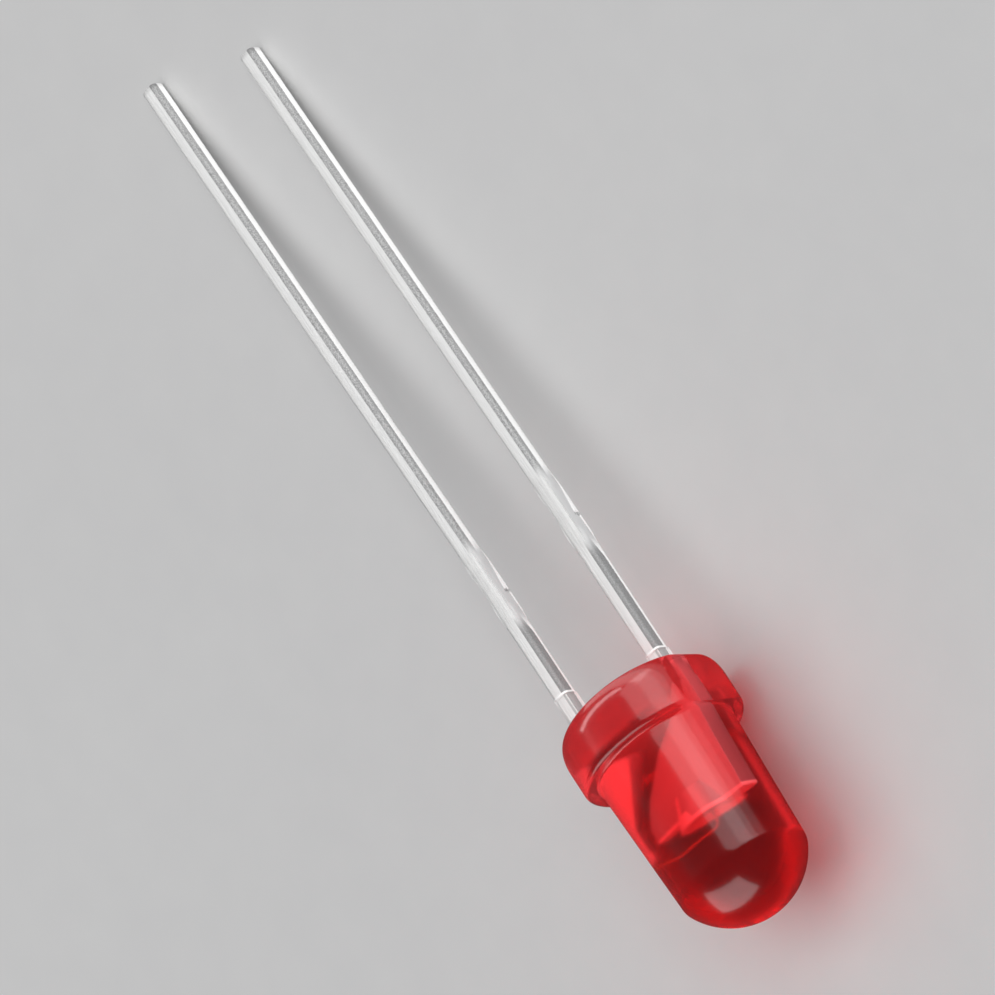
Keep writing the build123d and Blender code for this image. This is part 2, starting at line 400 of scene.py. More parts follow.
def makeResin(look):
    finish, tree, skin, out = newFinish("tintedResin")
    place = diodeCoords(tree)
    along, across, through = splitUp(tree, place)
    mottle = useGroup(tree, speckle, look["smooth"], look["hazy"], Vector=place,
                      PatchScale=look["patchScale"], SpeckScale=look["speckScale"])["Value"]
    cloud = addNoise(tree, place, look["cloudScale"])
    tint = mixColour(tree, cloud, look["clearTint"], look["cloudTint"])

    # painted shade: a dark band along the flange's top, standing in for the dark image seen through the
    # flange
    level = plus(tree, along, times(tree, minus(tree, cloud, 0.5), look["flowWander"]))
    paintedBand = times(tree, stepUp(tree, level, *look["flowStart"]), stepUp(tree, along, *look["flowEnd"]))
    near = times(tree, stepUp(tree, across, *look["flowLeft"]), stepUp(tree, across, *look["flowRight"]))
    near = times(tree, near, stepUp(tree, through, *look["flowFront"]))
    uneven = stepUp(tree, mottle, look["smooth"], look["hazy"], look["flowPatchy"])
    tint = mixColour(tree, times(tree, times(tree, paintedBand, near), uneven), tint, look["flowTint"])

    baseMask = stepUp(tree, towards(tree, -axisDome), *look["baseFacing"])
    rough = calc(tree, "MAXIMUM", mottle, times(tree, baseMask, look["frosted"]))
    grazing = addNode(tree, "ShaderNodeLayerWeight").outputs["Facing"]
    fill(tree, skin, BaseColor=tint, Roughness=rough, IOR=look["index"], TransmissionWeight=1.0,
         SpecularIORLevel=0.0, CoatWeight=stepUp(tree, grazing, *look["coatGrazing"]),
         CoatRoughness=look["coatRough"], CoatIOR=look["coatIndex"])  # the coat alone gives the gloss

    leaving = addNode(tree, "ShaderNodeNewGeometry").outputs["Backfacing"]
    shade = mixColour(tree, leaving, look["shadeOutside"], look["shadeInside"])
    clear = fill(tree, addNode(tree, "ShaderNodeBsdfTransparent"), Color=shade)[0]
    shadowRay = addNode(tree, "ShaderNodeLightPath").outputs["Is Shadow Ray"]
    either = feedAll(tree, addNode(tree, "ShaderNodeMixShader"), shadowRay, skin.outputs[0], clear)[0]
    feed(tree, out.inputs["Surface"], either)

    absorb = fill(tree, addNode(tree, "ShaderNodeVolumeAbsorption"),
                  Color=look["absorbColour"], Density=look["absorbDensity"])[0]
    cloudy = fill(tree, addNode(tree, "ShaderNodeVolumeScatter"), Color=look["scatterColour"],
                  Density=stepUp(tree, along, *look["scatterAlong"]), Anisotropy=look["scatterForward"])[0]
    body = feedAll(tree, addNode(tree, "ShaderNodeAddShader"), absorb, cloudy)[0]
    feed(tree, out.inputs["Volume"], body)
    return finish


# Tinned lead: pale face, bright side that is a painted highlight, grainy grey coined corner that is painted
# shade, cropped zone at the tie bar with painted highlights, plated head with painted shade and highlights

leadLook = dict(
    # the side colour is a painted highlight, drawn near white for the light the side catches
    face=(0.81, 0.81, 0.80, 1.0), side=(0.99, 0.99, 0.98, 1.0), corner=(0.45, 0.45, 0.45, 1.0),
    # the corner colour above and the dark grey below are painted shade on the rounded corner
    cornerDark=(0.20, 0.20, 0.20, 1.0), cropped=(0.76, 0.76, 0.75, 1.0), croppedSide=(0.60, 0.60, 0.60, 1.0),
    # the first colour on this line is a painted highlight, used on cut edges, the sliver and the ridge
    stub=(1.0, 1.0, 0.99, 1.0), stubPit=(0.22, 0.22, 0.22, 1.0), pressed=(0.80, 0.80, 0.79, 1.0),
    lineTint=(0.35, 0.35, 0.36, 1.0), lineShare=0.12, lineAlong=1.2, lineAcross=26.0,
    plated=(0.97, 0.95, 0.93, 1.0), platedFar=(0.97, 0.95, 0.93, 1.0),  # head's face, from the anode side to the flat; the cathode's is painted shade, lightening towards the flat as painted light
    # the rim colour is a painted highlight on the head's edges and top lip
    sheared=(0.34, 0.33, 0.33, 1.0), shearedLow=(0.50, 0.49, 0.49, 1.0), rim=(1.0, 0.98, 0.96, 1.0),
    metallic=0.3, sideMetallic=0.12, headMetallic=0.1, faceRough=0.34, cornerRough=0.5, grainRough=0.08,
    patchScale=3.0, speckScale=38.0, bump=0.3, bumpDepth=0.012 * mm, bumpSpecks=0.8,
    wobble=0.25, lapWobble=0.12, edgeWobble=0.25,
    cropMiddle=-4.32, stubMiddle=-4.5, stubSlant=0.14, pitAt=0.36,
    flatEnd=1.44, flatSoft=0.03, pressedShare=0.3, ridgeOut=0.02,
    # painted shade at the tip's end
    reach=18.14, burntGaps=(0.16, 0.04), burntLeast=0.35,
)
anvilLook = dict(
    # painted shade: the cathode's head is drawn darker than the anode's, lighter towards the flat as painted
    # light
    leadLook, flatEnd=0.57, reach=17.0, plated=(0.40, 0.38, 0.37, 1.0), platedFar=(0.62, 0.60, 0.59, 1.0),
)
tinBands = dict(  # where tones change: facings from -1 to 1, noise from 0 to 1, places in mm
    cornerFacing=(0.08, 0.24), sideFacing=(0.55, 0.9), onSide=(-0.1, 0.2), inBody=(-0.1, 0.15),
    lapBrink=(-3.6, -2.9, 0.05, -0.05), lapEdge=(-0.012, 0.012), lapFacing=(0.1, 0.3),
    greySpecks=(0.3, 0.7), nearBody=(-3.6, -3.0, 0.0, 0.6),
    cropReach=(1.25, 0.75), wornFacing=(0.1, 0.9), wornPatches=(0.45, 0.9, 0.0, 0.4), farEdge=(-0.1, -0.14),
    sliver=(0.06, 0.09), stubReach=(0.34, 0.26), pitReach=(0.05, 0.02, 0.0, 0.8),
    ridge=(0.035, 0.02, 0.0, 0.8),
    platedAcross=(-0.75, 0.7), shearedAlong=(0.8, 1.8), shearedFacing=(0.35, 0.8), rimFacing=(0.3, 0.6),
    # painted highlight along the head's top lip
    brimAcross=(0.0, 0.1, 2.78, 2.99), brimEdge=(0.0, 0.05),
)


def makeTin(name, look):
    finish, tree, skin, out = newFinish(name)
    place = diodeCoords(tree)
    along, across, through = splitUp(tree, place)
    upOf, sideOf, domeOf = (towards(tree, axis) for axis in (axisFace, axisFlat, axisDome))
    lines = useGroup(tree, drawLines, Vector=place,
                     AlongScale=look["lineAlong"], AcrossScale=look["lineAcross"])["Value"]
    grains = useGroup(tree, speckle, Vector=place,
                      PatchScale=look["patchScale"], SpeckScale=look["speckScale"])
    wobble = times(tree, minus(tree, grains["Specks"], 0.5), look["wobble"])

    def band(value, key):
        return stepUp(tree, value, *tinBands[key])

    def sizeOf(value):
        return calc(tree, "ABSOLUTE", value)

    # face and side; the corner is painted shade, grey and grainy, lapping onto the side and darker still near
    # the body
    sideHighlightMask = band(sizeOf(sideOf), "sideFacing")
    brink = plus(tree, band(along, "lapBrink"), times(tree, wobble, look["lapWobble"]))
    lapped = times(tree, band(minus(tree, through, brink), "lapEdge"), band(sideOf, "lapFacing"))
    cornerShadeMask = calc(tree, "MAXIMUM", band(times(tree, upOf, sideOf), "cornerFacing"), lapped)
    grey = mixColour(tree, band(grains["Specks"], "greySpecks"), look["cornerDark"], look["corner"])
    grey = mixColour(tree, band(along, "nearBody"), grey, look["cornerDark"])
    # painted highlight: the side is drawn near white
    colour = mixColour(tree, sideHighlightMask, look["face"], look["side"])
    colour = mixColour(tree, cornerShadeMask, colour, grey)

    # worn where the tie bar was cut off, with a painted highlight on the side's far edge and on a torn
    # sliver, and the sliver's pit
    onSide = band(sideOf, "onSide")
    fromCrop = sizeOf(minus(tree, along, look["cropMiddle"]))
    fromStub = plus(tree, minus(tree, along, look["stubMiddle"]), wobble)
    edge = band(plus(tree, through, times(tree, wobble, look["edgeWobble"])), "farEdge")
    edgeMask = times(tree, onSide, edge)
    sliver = band(minus(tree, times(tree, fromStub, look["stubSlant"]), through), "sliver")
    stubMask = times(tree, band(sizeOf(fromStub), "stubReach"), sliver)
    pitMask = times(tree, band(sizeOf(minus(tree, fromStub, look["pitAt"])), "pitReach"), sliver)
    worn = mixColour(tree, band(sideOf, "wornFacing"), look["cropped"], look["croppedSide"])
    worn = mixColour(tree, band(grains["Value"], "wornPatches"), worn, look["croppedSide"])
    worn = mixColour(tree, calc(tree, "MAXIMUM", edgeMask, times(tree, stubMask, onSide)), worn, look["stub"])
    worn = mixColour(tree, times(tree, pitMask, onSide), worn, look["stubPit"])
    colour = mixColour(tree, band(plus(tree, fromCrop, wobble), "cropReach"), colour, worn)

    # pressed next to the body, with a painted highlight on the side's far edge and on the ridge where that
    # ends
    flatAt, soft = -look["flatEnd"], look["flatSoft"]
    flatMask = stepUp(tree, along, flatAt - soft, flatAt + soft, 0.0, look["pressedShare"])
    pressed = mixColour(tree, band(sideOf, "wornFacing"), look["pressed"], look["croppedSide"])
    pressed = mixColour(tree, edgeMask, pressed, look["stub"])
    colour = mixColour(tree, flatMask, colour, pressed)
    ridgeAt = plus(tree, along, look["flatEnd"] - look["ridgeOut"])
    colour = mixColour(tree, band(sizeOf(ridgeAt), "ridge"), colour, look["stub"])

    # fine lines all along, and painted shade on the end where the shears cut
    colour = mixColour(tree, times(tree, lines, look["lineShare"]), colour, look["lineTint"])
    endMask = stepUp(tree, along, *(gap - look["reach"] for gap in look["burntGaps"]))
    tipShade = times(tree, endMask, calc(tree, "MAXIMUM", cornerShadeMask, look["burntLeast"]))
    colour = mixColour(tree, tipShade, colour, look["cornerDark"])

    # head inside the resin: plated face, the cathode's painted darker with painted light towards the flat;
    # sheared side; painted highlights on the rim and lip
    # plated face; on the cathode, painted shade lightening towards the flat
    head = mixColour(tree, band(across, "platedAcross"), look["plated"], look["platedFar"])
    cut = mixColour(tree, band(along, "shearedAlong"), look["shearedLow"], look["sheared"])
    head = mixColour(tree, band(sideOf, "shearedFacing"), head, cut)
    # painted highlight on edges facing the dome or away from the flat, and along the top lip
    ends = calc(tree, "MAXIMUM", domeOf, times(tree, sideOf, -1.0))
    head = mixColour(tree, band(ends, "rimFacing"), head, look["rim"])
    brimHighlight = minus(tree, along, band(across, "brimAcross"))
    head = mixColour(tree, band(brimHighlight, "brimEdge"), head, look["rim"])

    metal = minus(tree, look["metallic"], times(tree, sideHighlightMask, look["metallic"] - look["sideMetallic"]))
    headShare = look["headMetallic"] / look["metallic"]
    metal = times(tree, metal, stepUp(tree, along, *tinBands["inBody"], 1.0, headShare))
    rough = plus(tree, look["faceRough"], times(tree, cornerShadeMask, look["cornerRough"] - look["faceRough"]))
    rough = plus(tree, rough, times(tree, grains["Value"], look["grainRough"]))
    colour = mixColour(tree, band(along, "inBody"), colour, head)
    fill(tree, skin, BaseColor=colour, Metallic=metal, Roughness=rough)
    height = plus(tree, lines, times(tree, grains["Specks"], look["bumpSpecks"]))
    addBump(tree, skin, height, look["bump"], look["bumpDepth"])
    return finish


# Die, adhesive and bond wire

crystalLook = dict(
    dark=(0.10, 0.07, 0.06, 1.0), pale=(0.20, 0.15, 0.12, 1.0), metallic=0.0, rough=0.25, speckRough=0.12,
    patchScale=9.0, speckScale=60.0, bump=0.2, bumpDepth=0.004 * mm,
)
adhesiveLook = dict(
    crystalLook, dark=(0.42, 0.41, 0.39, 1.0), pale=(0.66, 0.65, 0.62, 1.0), metallic=0.3, rough=0.5,
    patchScale=20.0, speckScale=90.0, bump=0.6,
)
goldLook = dict(
    crystalLook, dark=(0.62, 0.40, 0.14, 1.0), pale=(0.80, 0.58, 0.26, 1.0), metallic=1.0, rough=0.18,
    patchScale=12.0, speckScale=70.0, bump=0.15,
)


def makePlain(name, look):
    finish, tree, skin, out = newFinish(name)
    grain = useGroup(tree, speckle, Vector=diodeCoords(tree),
                     PatchScale=look["patchScale"], SpeckScale=look["speckScale"])
    rough = plus(tree, look["rough"], times(tree, grain["Specks"], look["speckRough"]))
    colour = mixColour(tree, grain["Value"], look["dark"], look["pale"])
    fill(tree, skin, BaseColor=colour, Metallic=look["metallic"], Roughness=rough)
    addBump(tree, skin, grain["Specks"], look["bump"], look["bumpDepth"])
    return finish


resin = makeResin(resinLook)
anodeTin = makeTin("anodeTin", leadLook)
cathodeTin = makeTin("cathodeTin", anvilLook)
crystal = makePlain("dieCrystal", crystalLook)
adhesive = makePlain("silverAdhesive", adhesiveLook)
gold = makePlain("goldWire", goldLook)
print("finishes ready")


# Lens body: flange with its flat, tapered barrel and dome, resin collars round the leads

lensSizes = dict(
    flangeRadius=1.92, flangeThickness=1.15, baseRound=0.16, baseDraft=0.42, topRound=0.12,
    flatDistance=1.72, flatOver=0.001,
    rootRadius=1.615, topRadius=1.5, rootRound=0.06, barrelHeight=3.25, domeHeight=1.01, domeBlend=0.4,
    stepsRound=320, faceSteps=6, baseSteps=18, roundSteps=9, footSteps=6, barrelSteps=28, domeSteps=60,
    baseSlope=0.062, slopeTurn=34.6, slopeDepth=0.6,  # the poured face is not quite square to the axis
    collarFoot=0.34, collarLip=0.25, collarHeight=0.2, collarHollow=0.25, collarSink=0.3,
    collarSteps=48, collarSweep=8, sharpFrom=17,
)
leadSizes = dict(
    pitch=2.54, offAxis=-0.095, width=0.4, thickness=0.4, cornerRound=0.11, cornerSteps=6,
    anodeReach=18.14, cathodeReach=17.0, headStart=0.35, frameHeight=3.1,
    leanDegrees=0.45, setDegrees=1.6, setHalf=1.0,
    barDepth=4.32, barLength=1.9, barWidth=0.37, barSoft=0.1, barFade=0.4, barMargin=0.2, barSteps=56,
    cropLength=1.1, cropDepth=0.05, cropNick=0.01,
    anodeFlatEnd=1.44, cathodeFlatEnd=0.57, flatSkew=0.15, flatSoft=0.02,  # pressed flat next to the body
    flatRidge=0.014, ridgeHalf=0.035, ridgeReach=0.1, ridgeSteps=16, betweenSteps=5, runSteps=14,
    tipEdgeRound=0.05, tipShearRound=0.18,
    tipGaps=[0.4, 0.3, 0.24, 0.19, 0.15, 0.11, 0.08, 0.055, 0.035, 0.02, 0.01, 0.004, 0.0], sharpFrom=35,
)
halfPitch = leadSizes["pitch"] / 2
anodeAt, cathodeAt = leadSizes["offAxis"] - halfPitch, leadSizes["offAxis"] + halfPitch


def lensProfile(s):
    base, draft, top = s["baseRound"], s["baseDraft"], s["topRound"]
    rim, step, foot = s["flangeRadius"], s["flangeThickness"], s["rootRound"]
    line = [(0.0, 0.0)] + runPoints((0.0, 0.0), (0.0, rim - base), s["faceSteps"])
    edge = arcPoints((0.0, 0.0), 1.0, 90, 0, s["baseSteps"])  # drawn out along the axis by the draft
    line += [(draft * (1 - up), rim - base * (1 - out)) for out, up in edge]
    line += runPoints((draft, rim), (step - top, rim), s["faceSteps"])
    line += arcPoints((step - top, rim - top), top, 90, 0, s["roundSteps"])
    line += arcPoints((step + foot, s["rootRadius"] + foot), foot, 180, 270, s["footSteps"])
    # blend between the barrel's line and the dome's circle
    domeStart = step + s["barrelHeight"]
    domeRadius = (s["topRadius"] ** 2 + s["domeHeight"] ** 2) / (2 * s["domeHeight"])
    centre = Vector((domeStart + s["domeHeight"] - domeRadius, 0.0))
    start = Vector((step + foot, s["rootRadius"]))
    way = (Vector((domeStart, s["topRadius"])) - start).normalized()
    inward = Vector((way.y, -way.x))
    blend = s["domeBlend"]
    gap = start + inward * blend - centre
    along = -gap.dot(way) + math.sqrt(gap.dot(way) ** 2 - gap.length_squared + (domeRadius - blend) ** 2)
    hub = start + way * along + inward * blend
    leave = hub - inward * blend
    outward = hub - centre
    fromDegrees = math.degrees(math.atan2(-inward.y, -inward.x))
    toDegrees = math.degrees(math.atan2(outward.y, outward.x))
    line += runPoints(start, leave, s["barrelSteps"])
    line += arcPoints(hub, blend, fromDegrees, toDegrees, s["roundSteps"])
    line += arcPoints(centre, domeRadius, toDegrees, 0, s["domeSteps"])[1:-1]
    return line + [(centre.x + domeRadius, 0.0)]


def collarProfile(s):
    foot, lip, height = s["collarFoot"], s["collarLip"], s["collarHeight"]
    line = [(s["collarSink"], 0.0), (s["collarSink"], lip), (0.0, lip), (0.0, foot)]
    for i in range(1, s["collarSweep"]):  # hollow sweep from the foot to the lip
        share = i / s["collarSweep"]
        sag = (foot - lip) * s["collarHollow"] * 4 * share * (1 - share)
        line.append((-height * share, foot + (lip - foot) * share - sag))
    return line + [(-height, lip), (-height, 0.0)]


def makeLens(s):
    flatLength = s["flangeThickness"] + s["flatOver"]
    skin = turned(lensProfile(s), resin, s["stepsRound"], s["flatDistance"], flatLength)
    skin = tidyMesh(skin, allSmooth)
    turn = math.radians(s["slopeTurn"])
    for vertex in skin.vertices:
        share = max(0.0, 1 - vertex.co.x / s["slopeDepth"])
        vertex.co.x -= share * s["baseSlope"] * (vertex.co.y * math.sin(turn) + vertex.co.z * math.cos(turn))
    for leadAt in (anodeAt, cathodeAt):
        collar = tidyMesh(turned(collarProfile(s), resin, s["collarSteps"]), allSmooth)
        skin = combine(skin, moved(collar, y=leadAt))
    return tidyMesh(skin, s["sharpFrom"])


lensPiece = finishPiece("lensBody", makeLens(lensSizes), resin, ["lens_body"])
print("lens body made,", len(lensPiece.data.polygons), "faces")


# Leads: a drawn stem shaped at its tip and tie bar, and a stamped head

def leadStations(s, reach, flatEnd):  # places along the lead, from the head to the tip
    places = [s["headStart"] + s["width"] / 2, s["headStart"], 0.0]
    bar, half = -s["barDepth"], s["barLength"] / 2 + s["barMargin"]
    ridge, count = s["ridgeReach"], s["ridgeSteps"]
    places += [-flatEnd + ridge - 2 * ridge * i / count for i in range(count + 1)]
    between = s["barDepth"] - half - flatEnd - ridge
    places += [-flatEnd - ridge - i * between / s["betweenSteps"] for i in range(1, s["betweenSteps"])]
    places += [bar + half - 2 * half * i / s["barSteps"] for i in range(s["barSteps"] + 1)]
    run = reach - s["barDepth"] - half
    places += [bar - half - run * i / s["runSteps"] for i in range(1, s["runSteps"])]
    return places + [gap - reach for gap in s["tipGaps"]]


def leadLine(s, leadAt, along):  # where the lead's middle is, across the diode
    lean, bent = (math.tan(math.radians(s[key])) for key in ("leanDegrees", "setDegrees"))
    bendAt = leadAt - s["barDepth"] * lean
    above, half = along + s["barDepth"], s["setHalf"]
    if abs(above) < half:  # soft bend at the tie bar
        return bendAt + (lean + bent) / 2 * above + (lean - bent) / (4 * half) * (above ** 2 + half ** 2)
    return bendAt + above * (lean if above > 0 else bent)


def roundedIn(radius, gap):  # how far an edge round of this radius draws in, at a gap from the end
    return radius - math.sqrt(max(0.0, radius ** 2 - (radius - gap) ** 2))


def shapeStem(mesh, s, leadAt, reach, flatEnd):
    halfWide, halfThick = s["width"] / 2, s["thickness"] / 2
    halfBar, halfCrop = s["barWidth"] / 2, s["cropLength"] / 2
    soft = s["flatSoft"]
    for vertex in mesh.vertices:
        along = vertex.co.x
        middle = leadLine(s, leadAt, along)
        across, through = vertex.co.y - middle, vertex.co.z
        fromBar = abs(along + s["barDepth"])
        blend = min(1.0, max(0.0, (s["barLength"] / 2 + s["barSoft"] - fromBar) / s["barFade"]))
        fromFlat = along + flatEnd - s["flatSkew"] * across  # the mark lies a little askew
        if along < 0:
            blend = max(blend, min(1.0, max(0.0, (fromFlat + soft) / (2 * soft))))
            lift = 1 + s["flatRidge"] / halfWide * max(0.0, 1 - abs(fromFlat - soft) / s["ridgeHalf"])
            across, through = across * lift, through * lift
        reachOut = max(abs(across), abs(through))
        if blend > 0 and reachOut < halfBar:  # square corners where the tie bar was and next to the body
            across *= 1 + blend * (halfBar / reachOut - 1)
            through *= 1 + blend * (halfBar / reachOut - 1)
        if fromBar < halfCrop:  # a shallow scoop at one side, a mere nick at the other
            most = halfWide - s["cropDepth"] * (1 - (fromBar / halfCrop) ** 2)
            across = max(-most, min(halfWide - s["cropNick"], across))
        gap = along + reach
        if gap < s["tipEdgeRound"]:
            inset = roundedIn(s["tipEdgeRound"], gap)
            across *= 1 - inset / halfWide
            through *= 1 - inset / halfThick
        if gap < s["tipShearRound"]:
            across = max(roundedIn(s["tipShearRound"], gap) - halfWide, across)
        vertex.co.y, vertex.co.z = middle + across, through
    return mesh


def makeStem(s, leadAt, reach, flatEnd, tin):
    points = [(along, leadLine(s, leadAt, along), 0.0) for along in leadStations(s, reach, flatEnd)]
    stem = drawn(points, s["width"], s["thickness"], s["cornerRound"], s["cornerSteps"], tin)
    return tidyMesh(shapeStem(stem, s, leadAt, reach, flatEnd), allSmooth)


def stampedPlate(outline, thickness, cornerRound, edgeRound):  # outline of (along, across) in mm
    form = bmesh.new()
    low = [form.verts.new((along, across, -thickness / 2)) for along, across in outline]
    face = form.faces.new(low)
    lifted = bmesh.ops.extrude_face_region(form, geom=[face])["geom"]
    for item in lifted:
        if isinstance(item, bmesh.types.BMVert):
            item.co.z += thickness
    bmesh.ops.recalc_face_normals(form, faces=form.faces)
    posts = [e for e in form.edges if abs(e.verts[0].co.z - e.verts[1].co.z) > thickness / 2]
    bmesh.ops.bevel(form, geom=posts, offset=cornerRound, offset_type="OFFSET", segments=4,
                    profile=0.5, affect="EDGES", clamp_overlap=True)
    rims = [e for e in form.edges if abs(e.verts[0].co.z - e.verts[1].co.z) < thickness / 2
            and len(e.link_faces) == 2 and e.calc_face_angle(0.0) > 1.0]
    bmesh.ops.bevel(form, geom=rims, offset=edgeRound, offset_type="OFFSET", segments=3,
                    profile=0.5, affect="EDGES", clamp_overlap=True)
    mesh = bpy.data.meshes.new("plate")
    form.to_mesh(mesh)
    form.free()
    return tidyMesh(mesh, allSmooth)


headSizes = dict(
    cornerRound=0.05, edgeRound=0.022,
    anvilShares=[(0.354, 0.321), (0.0, 0.433), (-0.394, 0.656), (-0.545, 0.803), (-0.567, 0.925),
                 (0.079, 0.925), (0.079, 1.0), (0.93, 1.0), (1.0, 0.56)],
    anvilShoulder=0.3,
    postShares=[(-0.31, 0.315), (-0.54, 0.56), (-0.69, 0.725), (-0.69, 0.967), (-0.92, 0.967), (-1.02, 0.5)],
    postShoulder=0.25,
    cupAt=0.1, cupFoot=0.34, cupRim=0.52, cupWall=0.7, cupMouth=0.42, cupFloorRadius=0.26, cupDepth=0.34,
    cupOver=0.2, cupSteps=72, lipDepth=0.02, lipLow=0.005, lipHigh=0.025,
)


def headOutline(s, innerEdge, outerEdge, shares, shoulder):
    start, height = s["headStart"], s["frameHeight"]
    line = [(start, innerEdge)] + [(up * height, across * halfPitch) for across, up in shares]
    return line + [(shoulder * height, outerEdge), (start, outerEdge)]


def makeAnode(s, h):
    half = s["width"] / 2
    outline = headOutline(s, anodeAt + half, anodeAt - half, h["postShares"], h["postShoulder"])
    plate = stampedPlate(outline, s["thickness"], h["cornerRound"], h["edgeRound"])
    stem = makeStem(s, anodeAt, s["anodeReach"], s["anodeFlatEnd"], anodeTin)
    return tidyMesh(combine(stem, plate), s["sharpFrom"])


def makeCathode(s, h):
    half = s["width"] / 2
    outline = headOutline(s, cathodeAt - half, cathodeAt + half, h["anvilShares"], h["anvilShoulder"])
    plate = stampedPlate(outline, s["thickness"], h["cornerRound"], h["edgeRound"])
    top, rim, floorRadius = s["frameHeight"], h["cupRim"], h["cupFloorRadius"]
    foot, floor, over = top - h["cupWall"], top - h["cupDepth"], top + h["cupOver"]
    flare = (h["cupMouth"] - floorRadius) / h["cupDepth"]
    wall = turned([(foot, 0.0), (foot, h["cupFoot"]), (top - h["lipDepth"], rim - h["lipLow"]),
                   (top, rim - h["lipHigh"]), (top, 0.0)], cathodeTin, h["cupSteps"])
    overRadius = h["cupMouth"] + flare * h["cupOver"]
    hollow = turned([(floor, 0.0), (floor, floorRadius), (over, overRadius), (over, 0.0)],
                    cathodeTin, h["cupSteps"])
    lead = combine(makeStem(s, cathodeAt, s["cathodeReach"], s["cathodeFlatEnd"], cathodeTin), plate)
    lead = combine(lead, moved(tidyMesh(wall, allSmooth), y=h["cupAt"]))
    lead = combine(lead, moved(tidyMesh(hollow, allSmooth), y=h["cupAt"]), "DIFFERENCE")
    return tidyMesh(lead, s["sharpFrom"])


anodeMesh, cathodeMesh = makeAnode(leadSizes, headSizes), makeCathode(leadSizes, headSizes)
anodePiece = finishPiece("anodeLead", anodeMesh, anodeTin, ["anode_lead"])
cathodePiece = finishPiece("cathodeLead", cathodeMesh, cathodeTin, ["cathode_lead"])
print("leads made,", len(anodePiece.data.polygons), "and", len(cathodePiece.data.polygons), "faces")


# Die in its cup: adhesive, block with its contact, gold wire with ball and stitch

dieSizes = dict(
    dabMargin=0.02, dabThickness=0.03, dabFlare=0.03, dabKnee=(0.3, 0.75), dabSteps=48,
    side=0.28, height=0.2, edgeRound=0.012, sharpFrom=40,
    wireRadius=0.016, wireRound=0.999, wireCorner=4, wireBend=0.14, bendSteps=10,
    loopHeight=0.42, loopShares=[(0.0, 1.0), (0.66, 0.86)], postTop=0.967, postMiddle=(-0.69 - 0.92) / 2,
    ballRadius=0.045, ballHeight=0.03, stitchRadius=0.055, stitchHeight=0.04,
    buttonShares=[(0.0, 0.0), (0.0, 0.9), (0.25, 1.0), (0.6, 0.93), (0.9, 0.6), (1.0, 0.0)], buttonSteps=32,
)


def roundedRoute(corners, radius, steps):  # straight runs joined by arcs, in one plane
    points = [Vector(corners[0])]
    for before, corner, after in zip(corners, corners[1:], corners[2:]):
        corner = Vector(corner)
        toBefore, toAfter = (Vector(before) - corner).normalized(), (Vector(after) - corner).normalized()
        half = toBefore.angle(toAfter) / 2
        hub = corner + (toBefore + toAfter).normalized() * (radius / math.sin(half))
        enter = corner + toBefore * (radius / math.tan(half)) - hub
        leave = corner + toAfter * (radius / math.tan(half)) - hub
        for i in range(steps + 1):
            spoke = enter.lerp(leave, i / steps)
            points.append(hub + spoke.normalized() * radius)
    return points + [Vector(corners[-1])]


def makeDie(d, h, s):
    floor, middle, half = s["frameHeight"] - h["cupDepth"], h["cupAt"], d["side"] / 2
    base = floor + d["dabThickness"]
    foot = h["cupFloorRadius"] - d["dabMargin"]
    kneeUp, kneeIn = d["dabKnee"]
    knee = (floor + kneeUp * d["dabThickness"], foot - kneeIn * d["dabFlare"])
    dab = turned([(floor, 0.0), (floor, foot), knee, (base, foot - d["dabFlare"]), (base, 0.0)],
                 adhesive, d["dabSteps"])
    square = [(middle - half, -half), (middle + half, -half), (middle + half, half), (middle - half, half)]
    block = stampedPlate(square, d["height"], d["edgeRound"], d["edgeRound"])
    # the plate was drawn flat: stand its thickness along the diode
    block.transform(Matrix(((0, 0, 1, base + d["height"] / 2), (1, 0, 0, 0), (0, 1, 0, 0), (0, 0, 0, 1))))
    return moved(tidyMesh(dab, d["sharpFrom"]), y=middle), tidyMesh(block, d["sharpFrom"])


def makeWire(d, h, s):
    top = s["frameHeight"] - h["cupDepth"] + d["dabThickness"] + d["height"]
    postTop = d["postTop"] * s["frameHeight"]
    postAt = d["postMiddle"] * halfPitch
    span = postAt - h["cupAt"]
    corners = [(top + d["ballHeight"] / 2, h["cupAt"], 0.0)]
    corners += [(top + up * d["loopHeight"], h["cupAt"] + way * span, 0.0) for way, up in d["loopShares"]]
    corners += [(postTop + d["stitchHeight"] / 2, postAt, 0.0)]
    route = [tuple(p) for p in roundedRoute(corners, d["wireBend"], d["bendSteps"])]
    thick = 2 * d["wireRadius"]
    wire = drawn(route, thick, thick, d["wireRadius"] * d["wireRound"], d["wireCorner"], gold)
    wire = tidyMesh(wire, allSmooth)
    for along, across, radius, height in ((top, h["cupAt"], d["ballRadius"], d["ballHeight"]),
                                          (postTop, postAt, d["stitchRadius"], d["stitchHeight"])):
        profile = [(along + height * up, radius * out) for up, out in d["buttonShares"]]
        button = tidyMesh(turned(profile, gold, d["buttonSteps"]), allSmooth)
        wire = combine(wire, moved(button, y=across))
    return tidyMesh(wire, d["sharpFrom"])


dabMesh, blockMesh = makeDie(dieSizes, headSizes, leadSizes)
finishPiece("dieAttach", dabMesh, adhesive, ["die_attach"])
finishPiece("ledChip", blockMesh, crystal, ["led_chip"])
finishPiece("bondWire", makeWire(dieSizes, headSizes, leadSizes), gold, ["bond_wire"])
print("die, adhesive and bond wire made")


# Floor, light and camera

